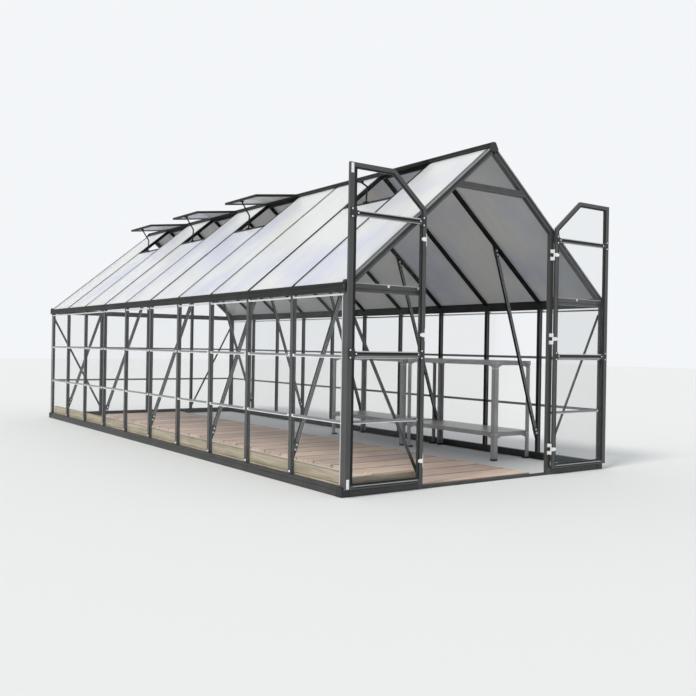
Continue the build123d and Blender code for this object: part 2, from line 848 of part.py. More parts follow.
def post_hinges():
    """Door posts' hinge plates with outer knuckles and the pins."""
    plates = []
    for z in hinge_heights:
        parts = []
        for sign in (-1, 1):
            centre = z + sign * (hinge_knuckle + 0.3)
            low = centre - hinge_knuckle / 2
            knuckle = Pos(-hinge_x, hinge_y, centre) * Cylinder(hinge_radius, hinge_knuckle)
            arm = slab(
                -hinge_x - hinge_plate / 2, -hinge_x + hinge_plate / 2, hinge_y, front_y, low,
                low + hinge_knuckle,
            )
            plate = slab(
                -hinge_x - hinge_plate / 2, -door_half_opening - 1, front_y - hinge_plate, front_y, low,
                low + hinge_knuckle,
            )
            parts.append(knuckle + arm + plate)
        pin = Pos(-hinge_x, hinge_y, z) * Cylinder(hinge_pin_radius, 3 * hinge_knuckle)
        plates.append(parts[0] + parts[1] + pin)
    left = pieces(plates)
    return pieces([left, across(left)])


def leaf_brackets():
    """Plastic T brackets where the crossbars meet the stiles."""
    meet = -leaf_meeting_gap / 2
    edge = -hinge_x + leaf_hinge_gap
    back = leaf_back + bracket_thickness
    half = bracket_height / 2
    tongue = leaf_crossbar_height / 2 - 2
    brackets = []
    for z in (leaf_lower_rail, leaf_upper_rail):
        for outer, member, way in ((meet, leaf_meeting_member, -1), (edge, leaf_member, 1)):
            near = outer + way * bracket_margin
            inner = outer + way * member
            bracket = slab(near, inner, leaf_back, back, z - half, z + half)
            bracket += slab(inner, inner + way * bracket_tongue, leaf_back, back, z - tongue, z + tongue)
            brackets.append(opened(bracket))
    return pieces(brackets)


def leaf_bolts():
    """Sliding bolts on the left leaf's inner face, each a plate with a round shoot."""
    x = -leaf_meeting_gap / 2 - leaf_meeting_face / 2
    radius = (bolt_thickness - hinge_plate) / 2
    bolts = []
    for end, way in ((leaf_bottom, 1), (leaf_top, -1)):
        near = end + way * 6
        far = near + way * bolt_length
        plate = slab(x - bolt_width / 2, x + bolt_width / 2, leaf_back, leaf_back + hinge_plate, near, far)
        shoot = Pos(x, leaf_back + hinge_plate + radius, (near + far) / 2)
        plate += shoot * Cylinder(radius, bolt_length - 12)
        bolts.append(opened(plate))
    return pieces(bolts)


# Benches along the right wall, one either side of a knee strut
def bench_spans():
    gap = strut_depth / 2 + 25
    first = bay_lines[1] + 78
    return ((first, bay_lines[3] - gap), (bay_lines[3] + gap, bay_lines[5] - gap))


def bench_x():
    outer = inner_x - bench_overhang - sheet_gap
    return outer - bench_depth, outer


def bench_legs():
    legs = []
    x0, x1 = bench_x()
    wall = 3.0
    for y0, y1 in bench_spans():
        for x, sx in ((x0, 1), (x1, -1)):
            for y, sy in ((y0, 1), (y1, -1)):
                top = bench_top_height - bench_sheet
                leg = slab(x, x + sx * bench_leg, y, y + sy * wall, 0, top)
                leg += slab(x, x + sx * wall, y, y + sy * bench_leg, 0, top)
                legs.append(leg)
    return pieces(legs)


def bench_tray(y0, y1):
    x0, x1 = bench_x()
    z = bench_lower_height
    inset = bench_overhang
    outer = slab(x0 + inset, x1 - inset, y0 + inset, y1 - inset, z - bench_rim, z)
    inset += bench_sheet
    hollow = slab(x0 + inset, x1 - inset, y0 + inset, y1 - inset, z - bench_rim, z - bench_sheet)
    return outer - hollow


def bench_tops():
    return pieces([bench_cover(y0, y1) for y0, y1 in bench_spans()])


def bench_cover(y0, y1):
    x0, x1 = bench_x()
    rim = bench_overhang
    outer = slab(
        x0 - rim, x1 + rim, y0 - rim, y1 + rim, bench_top_height - bench_rim, bench_top_height
    )
    hollow = slab(
        x0, x1, y0, y1, bench_top_height - bench_rim, bench_top_height - bench_sheet
    )
    return outer - hollow


def bench_lower_shelves():
    return pieces([bench_tray(y0, y1) for y0, y1 in bench_spans()])


# Floor and timber edging
def deck():
    y0 = front_y + threshold_depth + sheet_gap
    return slab(deck_left, deck_right, y0, back_y - base_depth - sheet_gap, 0, deck_thickness)


def bed_boards():
    x0 = sheet_gap - inner_x
    x1 = x0 + board_thickness
    y0 = base_front + cap_size + sheet_gap
    y1 = base_back - cap_size - sheet_gap
    middle = bed_board_height / 2
    side = slab(x0, x1, y0, y1, 0, bed_board_height)
    side -= slab(x1 - 3, x1, y0, y1, middle - 2, middle + 2)
    front = slab(x1, deck_left, y0, y0 + board_thickness, 0, front_board_height)
    return pieces([side, front])


def build():
    left_leaf = {
        "frame": leaf_frame(),
        "crossbars": leaf_crossbars(),
        "panes": leaf_panes(),
        "hinges": leaf_hinges(),
        "brackets": leaf_brackets(),
    }
    nodes = {
        "left_door_bolts": leaf_bolts(),
        "base_strips": base_strips(),
        "base_corner_caps": corner_caps(),
        "door_threshold": threshold(),
        "corner_posts": corner_posts(),
        "side_posts": side_posts(),
        "door_posts": door_posts(),
        "back_gable_posts": back_gable_posts(),
        "side_wall_rails": side_rails(),
        "gable_wall_rails": gable_rails(),
        "tie_beams": tie_beams(),
        "gable_transoms": transoms(),
        "gutters": gutters(),
        "gutter_end_caps": gutter_end_caps(),
        "ridge_beam": ridge_beam(),
        "ridge_end_caps": ridge_end_caps(),
        "gable_rafters": gable_rafters(),
        "roof_bars": roof_bars(),
        "side_wall_panes": side_wall_panes(),
        "gable_wall_panes": gable_wall_panes(),
        "gable_panes": gable_panes(),
        "left_roof_sheets": roof_sheets(vent_openings),
        "right_roof_sheets": across(roof_sheets({})),
        "vent_sills": vent_sills(),
        "vent_sashes": vent_sashes(),
        "vent_panes": vent_panes(),
        "vent_props": vent_props(),
        "knee_struts": knee_struts(),
        "gable_braces": gable_braces(),
        "door_post_hinges": post_hinges(),
        "bench_legs": bench_legs(),
        "bench_tops": bench_tops(),
        "bench_lower_shelves": bench_lower_shelves(),
        "walkway_deck": deck(),
        "bed_boards": bed_boards(),
    }
    for name, shape in left_leaf.items():
        nodes["left_door_" + name] = shape
        nodes["right_door_" + name] = across(shape)
    for name, shape in nodes.items():
        export_step(shape, f"parts/{name}.step")


build()
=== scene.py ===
import json
import math

import bpy
from mathutils import Matrix, Vector


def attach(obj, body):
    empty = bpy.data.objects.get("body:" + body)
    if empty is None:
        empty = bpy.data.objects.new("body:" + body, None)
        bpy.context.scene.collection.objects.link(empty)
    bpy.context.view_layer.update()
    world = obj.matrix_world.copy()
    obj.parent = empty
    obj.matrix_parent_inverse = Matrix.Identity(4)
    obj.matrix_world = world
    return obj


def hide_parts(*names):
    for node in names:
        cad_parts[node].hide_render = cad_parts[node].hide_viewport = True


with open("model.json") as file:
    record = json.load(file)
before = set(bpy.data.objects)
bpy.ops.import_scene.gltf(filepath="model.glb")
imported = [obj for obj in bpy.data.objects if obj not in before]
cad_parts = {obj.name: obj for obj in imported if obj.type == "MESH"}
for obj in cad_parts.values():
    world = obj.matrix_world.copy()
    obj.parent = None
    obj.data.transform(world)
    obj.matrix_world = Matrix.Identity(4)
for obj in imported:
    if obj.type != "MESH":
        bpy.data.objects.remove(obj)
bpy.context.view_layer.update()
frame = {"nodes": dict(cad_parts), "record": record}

# Places of the frame that the added pieces follow, in metres
house = {
    "wallX": 1.202, "innerX": 1.174, "frontY": -3.017, "backY": 3.047, "firstPost": -2.999, "bay": 0.6028,
    "bayCount": 10, "ventBays": (2, 5, 7, 9), "apex": 2.288, "eave": 1.286, "rails": (0.445, 0.838),
}
postLines = [house["firstPost"] + i * house["bay"] for i in range(house["bayCount"] + 1)]
bays = list(zip(postLines[:-1], postLines[1:]))
slope = math.atan2(house["apex"] - house["eave"], house["wallX"])
sides = (-1, 1)
gables = ((-1, house["frontY"]), (1, house["backY"]))
leaves = (("left_door", -1), ("right_door", 1))


# Small helpers
def clearPick():
    bpy.ops.object.select_all(action="DESELECT")


def startEdit():
    bpy.ops.object.mode_set(mode="EDIT")
    bpy.ops.mesh.select_all(action="SELECT")


def endEdit():
    bpy.ops.object.mode_set(mode="OBJECT")


def turnOutward():
    bpy.ops.mesh.select_all(action="SELECT")
    bpy.ops.mesh.normals_make_consistent(inside=False)


# The two corners may come in any order
def addBox(name, low, high, bevel):
    clearPick()
    middle = [(a + b) / 2 for a, b in zip(low, high)]
    bpy.ops.mesh.primitive_cube_add(size=1, location=middle)
    box = bpy.context.object
    box.name = name
    box.scale = [abs(b - a) for a, b in zip(low, high)]
    bpy.ops.object.transform_apply(location=True, rotation=True, scale=True)
    startEdit()
    bpy.ops.mesh.bevel(offset=bevel, segments=1, affect="EDGES")
    endEdit()
    return box


# Flat faces in an XZ plane, thickened along Y
def addPlate(name, points, faces, depth):
    clearPick()
    bpy.ops.mesh.primitive_plane_add(size=1)
    plate = bpy.context.object
    plate.name = name
    plate.data.clear_geometry()
    plate.data.from_pydata(points, [], faces)
    plate.data.update()
    startEdit()
    bpy.ops.mesh.extrude_region_move(TRANSFORM_OT_translate={"value": (0, depth, 0)})
    turnOutward()
    endEdit()
    return plate


def joinPieces(name, pieces):
    clearPick()
    for piece in pieces:
        piece.select_set(True)
    bpy.context.view_layer.objects.active = pieces[0]
    if len(pieces) > 1:
        bpy.ops.object.join()
    joined = bpy.context.object
    joined.name = name
    return joined


# Copies source to each matrix, every copy with its own mesh, and removes the source
def copyTo(name, source, places):
    copies = []
    for place in places:
        twin = source.copy()
        twin.data = source.data.copy()
        twin.data.transform(place)
        bpy.context.scene.collection.objects.link(twin)
        copies.append(twin)
    bpy.data.objects.remove(source)
    return joinPieces(name, copies)


# Matrix that puts a piece made along +Z on spot with its top towards normal
def facing(spot, normal):
    turn = Vector(normal).to_track_quat("Z", "Y").to_matrix().to_4x4()
    return Matrix.Translation(spot) @ turn


def dress(piece, material, body="house"):
    piece.data.materials.clear()
    piece.data.materials.append(material)
    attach(piece, body)


# Materials, all on object coordinates
white = (1, 1, 1)
black = (0, 0, 0)


def startMaterial(name, look):
    material = bpy.data.materials.new(name)
    material.use_nodes = True
    tree = material.node_tree
    shader = tree.nodes["Principled BSDF"]
    shader.inputs["Base Color"].default_value = (*look["colour"], 1)
    shader.inputs["Roughness"].default_value = look["roughness"]
    shader.inputs["Metallic"].default_value = look.get("metallic", 0.0)
    shader.inputs["Specular IOR Level"].default_value = look.get("specular", 0.5)
    coords = tree.nodes.new("ShaderNodeTexCoord")
    return material, tree, shader, coords


def stretched(tree, coords, scale):
    mapping = tree.nodes.new("ShaderNodeMapping")
    mapping.inputs["Scale"].default_value = scale
    tree.links.new(coords.outputs["Object"], mapping.inputs["Vector"])
    return mapping


def noiseNode(tree, source, scale, detail=4.0, roughness=0.55):
    noise = tree.nodes.new("ShaderNodeTexNoise")
    noise.inputs["Scale"].default_value = scale
    noise.inputs["Detail"].default_value = detail
    noise.inputs["Roughness"].default_value = roughness
    tree.links.new(source, noise.inputs["Vector"])
    return noise


def rampNode(tree, source, stops):
    ramp = tree.nodes.new("ShaderNodeValToRGB")
    while len(ramp.color_ramp.elements) < len(stops):
        ramp.color_ramp.elements.new(0.5)
    for element, (at, colour) in zip(ramp.color_ramp.elements, stops):
        element.position = at
        element.color = (*colour, 1)
    tree.links.new(source, ramp.inputs["Fac"])
    return ramp


def rangeNode(tree, source, low, high, fromLow=0.0, fromHigh=1.0):
    spread = tree.nodes.new("ShaderNodeMapRange")
    spread.inputs["From Min"].default_value = fromLow
    spread.inputs["From Max"].default_value = fromHigh
    spread.inputs["To Min"].default_value = low
    spread.inputs["To Max"].default_value = high
    tree.links.new(source, spread.inputs["Value"])
    return spread


def mathNode(tree, operation, source, *values):
    node = tree.nodes.new("ShaderNodeMath")
    node.operation = operation
    tree.links.new(source, node.inputs[0])
    for place, value in enumerate(values, 1):
        node.inputs[place].default_value = value
    return node


# Inputs 6 and 7 of the mix node are its two colours, and output 2 is the result
def multiplyNode(tree):
    mix = tree.nodes.new("ShaderNodeMix")
    mix.data_type = "RGBA"
    mix.blend_type = "MULTIPLY"
    return mix


def multiplied(tree, first, second):
    mix = multiplyNode(tree)
    mix.inputs["Factor"].default_value = 1.0
    tree.links.new(first, mix.inputs[6])
    tree.links.new(second, mix.inputs[7])
    return mix


def bumpNode(tree, shader, source, strength, distance):
    bump = tree.nodes.new("ShaderNodeBump")
    bump.inputs["Strength"].default_value = strength
    bump.inputs["Distance"].default_value = distance
    tree.links.new(source, bump.inputs["Height"])
    tree.links.new(bump.outputs["Normal"], shader.inputs["Normal"])


paint = {"darkAt": 0.3, "paleAt": 0.7, "grain": 700.0, "detail": 2.0, "bump": (0.08, 0.0004)}


def paintMaterial(name, look):
    material, tree, shader, coords = startMaterial(name, look)
    cloud = noiseNode(tree, coords.outputs["Object"], look["cloud"])
    dark = [c * (1 - look["spread"]) for c in look["colour"]]
    pale = [c * (1 + look["spread"]) for c in look["colour"]]
    ramp = rampNode(tree, cloud.outputs["Fac"], [(paint["darkAt"], dark), (paint["paleAt"], pale)])
    tree.links.new(ramp.outputs["Color"], shader.inputs["Base Color"])
    grain = noiseNode(tree, coords.outputs["Object"], paint["grain"], paint["detail"])
    bumpNode(tree, shader, grain.outputs["Fac"], *paint["bump"])
    return material


# Thin clear sheet: more cover at a flat angle, a faint haze and a slight wave
def clearMaterial(name, look):
    material, tree, shader, coords = startMaterial(name, look)
    edge = tree.nodes.new("ShaderNodeLayerWeight")
    edge.inputs["Blend"].default_value = look["blend"]
    smear = noiseNode(tree, coords.outputs["Object"], *look["smear"])
    hazy = look["cover"] + look["haze"]
    haze = rangeNode(tree, smear.outputs["Fac"], look["cover"], hazy, *look["hazeFrom"])
    cover = rangeNode(tree, edge.outputs["Fresnel"], 0.0, look["edgeCover"])
    tree.links.new(haze.outputs["Result"], cover.inputs["To Min"])
    tree.links.new(cover.outputs["Result"], shader.inputs["Alpha"])
    wave = noiseNode(tree, coords.outputs["Object"], *look["wave"])
    bumpNode(tree, shader, wave.outputs["Fac"], *look["bump"])
    return material


# Milky ribbed sheet: darker ribs, streaks of painted lilac reflection, a fine banding and painted shade on
# the underside.
# The wave texture runs through waveTurn radians for each unit of its scaled coordinate.
def twinWallMaterial(name, look, ribAxis):
    material, tree, shader, coords = startMaterial(name, look)
    shader.inputs["Transmission Weight"].default_value = look["glow"]
    ribs = tree.nodes.new("ShaderNodeTexWave")
    ribs.bands_direction = ribAxis
    ribs.inputs["Scale"].default_value = 2 * math.pi / (look["waveTurn"] * look["ribPitch"])
    tree.links.new(coords.outputs["Object"], ribs.inputs["Vector"])
    ribLow, ribHigh = look["ribAt"]
    walls = rampNode(tree, ribs.outputs["Fac"], [(ribLow, black), (ribHigh, white)])
    # Painted reflection: stretched noise mixes lilac-blue streaks into the sheet's colour
    reflectionPlace = stretched(tree, coords, look["reflectionStretch"])
    reflectionStreaks = noiseNode(tree, reflectionPlace.outputs["Vector"], *look["cloud"])
    tones = (look["colour"], look["reflectionTint"], look["colour"])
    reflectionTint = rampNode(tree, reflectionStreaks.outputs["Fac"], list(zip(look["reflectionTintAt"], tones)))
    finePlace = stretched(tree, coords, look["fine"])
    fine = noiseNode(tree, finePlace.outputs["Vector"], *look["fineNoise"])
    fineLow, fineHigh = look["fineAt"]
    fineTone = rampNode(tree, fine.outputs["Fac"], [(fineLow, white), (fineHigh, look["fineShade"])])
    uneven = multiplied(tree, reflectionTint.outputs["Color"], fineTone.outputs["Color"])
    ribbed = multiplyNode(tree)
    tree.links.new(walls.outputs["Color"], ribbed.inputs["Factor"])
    tree.links.new(uneven.outputs[2], ribbed.inputs[6])
    ribbed.inputs[7].default_value = (*look["ribShade"], 1)
    # Painted shade: faces that look downwards get a darker colour
    place = tree.nodes.new("ShaderNodeSeparateXYZ")
    tree.links.new(coords.outputs["Normal"], place.inputs["Vector"])
    under = (look["under"],) * 3
    underShadeRamp = rampNode(tree, place.outputs["Z"], [(0.0, under), (look["underShadeEnd"], white)])
    shaded = multiplied(tree, ribbed.outputs[2], underShadeRamp.outputs["Color"])
    tree.links.new(shaded.outputs[2], shader.inputs["Base Color"])
    cover = rangeNode(tree, walls.outputs["Color"], look["cover"], look["cover"] + look["ribCover"])
    tree.links.new(cover.outputs["Result"], shader.inputs["Alpha"])
    bumpNode(tree, shader, ribs.outputs["Fac"], *look["bump"])
    return material


wood = {
    "squeeze": 16.0, "run": 1.1, "grain": (3.0, 8.0, 0.62), "grainAt": (0.28, 0.5, 0.72), "cool": 1.06,
    "warm": 0.97, "bump": (0.35, 0.0015),
}


# Grain runs along one axis, each board has its own tone, and painted shade darkens its edges where the gaps
# lie
def woodMaterial(name, look, along):
    material, tree, shader, coords = startMaterial(name, look)
    squeeze = [wood["squeeze"]] * 3
    squeeze[along] = wood["run"]
    grainPlace = stretched(tree, coords, squeeze)
    grain = noiseNode(tree, grainPlace.outputs["Vector"], *wood["grain"])
    tones = (look["dark"], look["colour"], look["pale"])
    ramp = rampNode(tree, grain.outputs["Fac"], list(zip(wood["grainAt"], tones)))
    split = tree.nodes.new("ShaderNodeSeparateXYZ")
    tree.links.new(coords.outputs["Object"], split.inputs["Vector"])
    count = mathNode(tree, "MULTIPLY_ADD", split.outputs[look["across"]], 1 / look["board"], look["start"])
    whole = mathNode(tree, "FLOOR", count.outputs["Value"])
    chance = tree.nodes.new("ShaderNodeTexWhiteNoise")
    chance.noise_dimensions = "1D"
    tree.links.new(whole.outputs["Value"], chance.inputs["W"])
    low, high = look["low"], look["high"]
    cool = (low, low, low * wood["cool"])
    warm = (high, high, high * wood["warm"])
    tone = rampNode(tree, chance.outputs["Value"], [(0.0, cool), (1.0, warm)])
    mix = multiplied(tree, ramp.outputs["Color"], tone.outputs["Color"])
    # Painted shade: the colour darkens at both edges of each board, where the gaps and grooves lie
    part = mathNode(tree, "FRACT", count.outputs["Value"])
    seam = look["seam"]
    shade = (look["seamShade"],) * 3
    stops = [(0.0, shade), (seam, white), (1 - seam, white), (1.0, shade)]
    edge = rampNode(tree, part.outputs["Value"], stops)
    seamShaded = multiplied(tree, mix.outputs[2], edge.outputs["Color"])
    tree.links.new(seamShaded.outputs[2], shader.inputs["Base Color"])
    bumpNode(tree, shader, grain.outputs["Fac"], *wood["bump"])
    return material


paintLooks = {
    "framePaint": {"colour": (0.057, 0.057, 0.058), "roughness": 0.38, "cloud": 5.0, "spread": 0.16},
    # The darker frame paint below is painted shade, for parts that lie in the shade
    "shadedFramePaint": {
        "colour": (0.020, 0.021, 0.020), "roughness": 0.55, "specular": 0.18, "cloud": 6.0, "spread": 0.3,
    },
    "basePaint": {"colour": (0.036, 0.038, 0.037), "roughness": 0.5, "cloud": 7.0, "spread": 0.25},
    # Pale paint below is painted highlight, for edges and lips that catch the light
    "paintedEdgeHighlight": {"colour": (0.54, 0.55, 0.56), "roughness": 0.32, "cloud": 8.0, "spread": 0.15},
    "blackPlastic": {"colour": (0.011, 0.012, 0.017), "roughness": 0.38, "cloud": 12.0, "spread": 0.2},
    "jointStrip": {"colour": (0.20, 0.205, 0.215), "roughness": 0.28, "cloud": 9.0, "spread": 0.15},
    "zinc": {"colour": (0.90, 0.91, 0.92), "roughness": 0.30, "metallic": 0.6, "cloud": 90.0, "spread": 0.12},
    "benchPaint": {
        "colour": (0.33, 0.33, 0.335), "roughness": 0.36, "metallic": 0.15, "cloud": 6.0, "spread": 0.1,
    },
    # Black rubber below is the real colour of some parts and painted shade in the groove strips
    "rubberAndGrooveShade": {
        "colour": (0.014, 0.015, 0.014), "roughness": 0.6, "specular": 0.2, "cloud": 30.0, "spread": 0.3,
    },
    # Pale colour below is painted highlight along the sheets' edges and the rails' lips
    "sheetEdgeHighlight": {"colour": (0.80, 0.82, 0.81), "roughness": 0.35, "cloud": 14.0, "spread": 0.08},
}
clearSheet = {
    "colour": (0.26, 0.29, 0.29), "roughness": 0.05, "specular": 0.25, "blend": 0.30, "cover": 0.004,
    "haze": 0.008, "edgeCover": 0.10, "smear": (2.2, 5.0), "hazeFrom": (0.35, 0.75), "wave": (1.1, 2.0),
    "bump": (0.12, 0.004),
}
# In the ribbed sheets the lilac tint paints reflections, and the under factor paints shade on the underside
twinWall = {
    "colour": (0.98, 0.99, 0.96), "reflectionTint": (0.80, 0.83, 0.96), "roughness": 0.28, "glow": 0.25,
    "cover": 0.84, "ribCover": 0.12, "ribShade": (0.86, 0.86, 0.88), "ribPitch": 0.0105, "waveTurn": 20,
    "ribAt": (0.55, 0.9), "cloud": (1.3, 3.0), "reflectionStretch": (0.9, 1.3, 0.9), "reflectionTintAt": (0.42, 0.62, 0.72),
    "fine": (0.7, 34.0, 0.7), "fineNoise": (1.0, 2.0), "fineAt": (0.40, 0.60),
    "fineShade": (0.96, 0.965, 0.97), "under": 0.62, "underShadeEnd": 0.1, "bump": (0.3, 0.001),
}
# The seam shade below is painted shade at the board edges
deckWood = {
    "colour": (0.82, 0.62, 0.50), "dark": (0.52, 0.35, 0.26), "pale": (0.95, 0.82, 0.72),
    "roughness": 0.72, "board": 0.2493, "start": 11.948, "across": "Y", "low": 0.80, "high": 1.07,
    "seam": 0.07, "seamShade": 0.42,
}
bedWood = {
    "colour": (0.56, 0.47, 0.33), "dark": (0.35, 0.29, 0.20), "pale": (0.72, 0.63, 0.46),
    "roughness": 0.8, "board": 0.07, "start": 0.0, "across": "Z", "low": 0.80, "high": 1.06,
    "seam": 0.06, "seamShade": 0.6,
}
materials = {name: paintMaterial(name, look) for name, look in paintLooks.items()}
materials["clear"] = clearMaterial("clear", clearSheet)
materials["twinWall"] = twinWallMaterial("twinWall", twinWall, "Y")
# The vent panes get only a faint painted shade on their underside
materials["ventSheet"] = twinWallMaterial("ventSheet", {**twinWall, "under": 0.95, "glow": 0.5}, "Y")
materials["deckWood"] = woodMaterial("deckWood", deckWood, 0)
materials["sideBoardWood"] = woodMaterial("sideBoardWood", bedWood, 1)
materials["frontBoardWood"] = woodMaterial("frontBoardWood", bedWood, 0)

slotMaterials = {
    "frame_paint": "framePaint", "base_steel": "basePaint", "black_plastic": "blackPlastic",
    "joint_strip": "jointStrip", "galvanised": "zinc", "clear_sheet": "clear",
    "twin_wall": "twinWall", "bench_steel": "benchPaint", "timber": "deckWood",
}
# Nodes that look different from the rest of their slot; the darker frame paint here is painted shade
nodeMaterials = {
    "gutters": "shadedFramePaint", "ridge_beam": "shadedFramePaint", "vent_sills": "shadedFramePaint", "vent_sashes": "shadedFramePaint",
    "knee_struts": "shadedFramePaint", "roof_bars": "rubberAndGrooveShade", "vent_panes": "ventSheet",
}
for part in frame["record"]["subparts"]:
    node = frame["nodes"][part["node"]]
    choice = nodeMaterials.get(part["node"], slotMaterials[part["material_slot"]])
    node.data.materials.clear()
    node.data.materials.append(materials[choice])
print("materials set on", len(frame["nodes"]), "pieces")


# Walkway of planks laid across, each on a foot that nearly closes the gap to the next
planks = {
    "left": -0.578, "right": 0.452, "near": -2.9787, "far": 3.0047, "top": 0.022, "footTop": 0.012,
    "count": 24, "gap": 0.010, "bevel": 0.0025, "footIn": 0.001, "footGap": 0.0002, "footLap": 0.001,
    "footBevel": 0.0005,
}
plankPitch = (planks["far"] - planks["near"]) / planks["count"]
plankEnd = planks["near"] + plankPitch
plankTop = addBox(
    "plankTop", (planks["left"], planks["near"], planks["footTop"]),
    (planks["right"], plankEnd - planks["gap"], planks["top"]), planks["bevel"],
)
plankFoot = addBox(
    "plankFoot", (planks["left"] + planks["footIn"], planks["near"] + planks["footGap"], 0.0),
    (planks["right"] - planks["footIn"], plankEnd - planks["footGap"], planks["footTop"] + planks["footLap"]),
    planks["footBevel"],
)
plank = joinPieces("plank", [plankTop, plankFoot])
plankSpots = [Matrix.Translation((0, i * plankPitch, 0)) for i in range(planks["count"])]
walkway = copyTo("plankWalkway", plank, plankSpots)
dress(walkway, materials["deckWood"])
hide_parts("walkway_deck")

# Two boards high along the left wall, and a lower pair across the front
beds = {
    "outerX": -1.1737, "thick": 0.030, "near": -2.9577, "far": 2.9877, "sideTop": 0.140, "frontTop": 0.104,
    "frontEnd": -0.578, "rows": 2, "lengths": 3, "gap": 0.002, "bevel": 0.003,
}


def boardStack(name, low, high, lengths, along):
    boards = []
    rowHeight = high[2] / beds["rows"]
    span = (high[along] - low[along]) / lengths
    for row in range(beds["rows"]):
        for part in range(lengths):
            start = list(low)
            stop = list(high)
            start[2] = row * rowHeight
            stop[2] = (row + 1) * rowHeight - (beds["gap"] if row < beds["rows"] - 1 else 0)
            start[along] = low[along] + part * span
            stop[along] = low[along] + (part + 1) * span - (beds["gap"] if part < lengths - 1 else 0)
            boards.append(addBox(name, start, stop, beds["bevel"]))
    return joinPieces(name, boards)


bedInner = beds["outerX"] + beds["thick"]
sideBoards = boardStack(
    "sideBoards", (beds["outerX"], beds["near"], 0), (bedInner, beds["far"], beds["sideTop"]),
    beds["lengths"], 1,
)
dress(sideBoards, materials["sideBoardWood"])
frontBoards = boardStack(
    "frontBoards", (bedInner, beds["near"], 0),
    (beds["frontEnd"], beds["near"] + beds["thick"], beds["frontTop"]), 1, 0,
)
dress(frontBoards, materials["frontBoardWood"])
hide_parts("bed_boards")
print("timber laid")

# Bright bolts with washers: one is modelled, then copied to its spots
bolt = {
    "washer": 0.0085, "thick": 0.0012, "nut": 0.0055, "height": 0.0036, "bevel": 0.001, "sides": 12,
    "topZ": 0.9,
}


def makeBolt(scale):
    clearPick()
    depth = bolt["thick"] * scale
    bpy.ops.mesh.primitive_cylinder_add(
        vertices=bolt["sides"], radius=bolt["washer"] * scale, depth=depth, location=(0, 0, depth / 2)
    )
    made = bpy.context.object
    bpy.ops.object.transform_apply(location=True, rotation=True, scale=True)
    bpy.ops.object.mode_set(mode="EDIT")
    bpy.ops.mesh.select_all(action="DESELECT")
    endEdit()
    for face in made.data.polygons:
        face.select = face.normal.z > bolt["topZ"]
    bpy.ops.object.mode_set(mode="EDIT")
    bpy.ops.mesh.inset(thickness=(bolt["washer"] - bolt["nut"]) * scale)
    bpy.ops.mesh.extrude_region_move(TRANSFORM_OT_translate={"value": (0, 0, bolt["height"] * scale)})
    bpy.ops.mesh.bevel(offset=bolt["bevel"] * scale, segments=1, affect="EDGES")
    endEdit()
    return made


def addBolts(name, spots, scale=1.0, body="house"):
    dress(copyTo(name, makeBolt(scale), spots), materials["zinc"], body)


boltRows = {
    "strip": 0.027, "sunk": 0.0005, "baseZ": 0.076, "eave": ((0.026, 1.212), (-0.026, 1.216)),
    "eaveProud": 0.001, "eaveScale": 1.25, "railX": {-1: (1.150, 0.640), 1: (1.150, 0.632, 0.570, 0.030)},
    "tieX": {-1: (0.889, 0.650), 1: (1.13, 0.601)}, "tieZ": 1.272,
}
wallSpots = []
eaveSpots = []
for side in sides:
    outward = (side, 0, 0)
    railX = side * (house["wallX"] - boltRows["sunk"])
    eaveX = side * (house["wallX"] + boltRows["eaveProud"])
    for line in postLines[1:-1]:
        for z in house["rails"]:
            for step in (-boltRows["strip"], boltRows["strip"]):
                wallSpots.append(facing((railX, line + step, z), outward))
        wallSpots.append(facing((side * house["wallX"], line, boltRows["baseZ"]), outward))
        for step, z in boltRows["eave"]:
            eaveSpots.append(facing((eaveX, line + step, z), outward))
for end, faceY in gables:
    outward = (0, end, 0)
    for side in sides:
        for z in house["rails"]:
            for x in boltRows["railX"][end]:
                wallSpots.append(facing((side * x, faceY - end * boltRows["sunk"], z), outward))
        for x in boltRows["tieX"][end]:
            wallSpots.append(facing((side * x, faceY, boltRows["tieZ"]), outward))
addBolts("wallBolts", wallSpots)
addBolts("eaveBolts", eaveSpots, boltRows["eaveScale"])

# Pale capping along the top of the side walls' sheets, between the posts, in a pale colour that paints a
# highlight on their top edge
capping = {"low": 1.206, "high": 1.218, "back": 0.0025, "proud": 0.001, "gap": 0.019, "bevel": 0.0008}
cappingParts = []
for side in sides:
    x0 = side * (house["wallX"] - capping["back"])
    x1 = side * (house["wallX"] + capping["proud"])
    for near, far in bays:
        low = (x0, near + capping["gap"], capping["low"])
        high = (x1, far - capping["gap"], capping["high"])
        cappingParts.append(addBox("capping", low, high, capping["bevel"]))
wallCapping = joinPieces("wallCapping", cappingParts)
dress(wallCapping, materials["sheetEdgeHighlight"])

# Painted highlights along the lower lips of the wall rails
railLip = {
    "bottoms": (0.435, 0.828), "width": 0.005, "sunk": 0.0004, "proud": 0.0008, "bevel": 0.0004, "gap": 0.019,
    "wallX": 1.2015, "gables": (
        (-1, -3.0165, ((-1.160, -0.625), (0.625, 1.160))),
        (1, 3.0465, ((-1.160, -0.621), (-0.581, -0.020), (0.020, 0.581), (0.621, 1.160))),
    ),
}
lipParts = []
for side in sides:
    x0 = side * (railLip["wallX"] - railLip["sunk"])
    x1 = side * (railLip["wallX"] + railLip["proud"])
    for near, far in bays:
        for z in railLip["bottoms"]:
            low = (x0, near + railLip["gap"], z)
            high = (x1, far - railLip["gap"], z + railLip["width"])
            lipParts.append(addBox("lip", low, high, railLip["bevel"]))
for end, railY, spans in railLip["gables"]:
    y0 = railY - end * railLip["sunk"]
    y1 = railY + end * railLip["proud"]
    for left, right in spans:
        for z in railLip["bottoms"]:
            lipParts.append(addBox("lip", (left, y0, z), (right, y1, z + railLip["width"]), railLip["bevel"]))
railLips = joinPieces("railLips", lipParts)
dress(railLips, materials["sheetEdgeHighlight"])

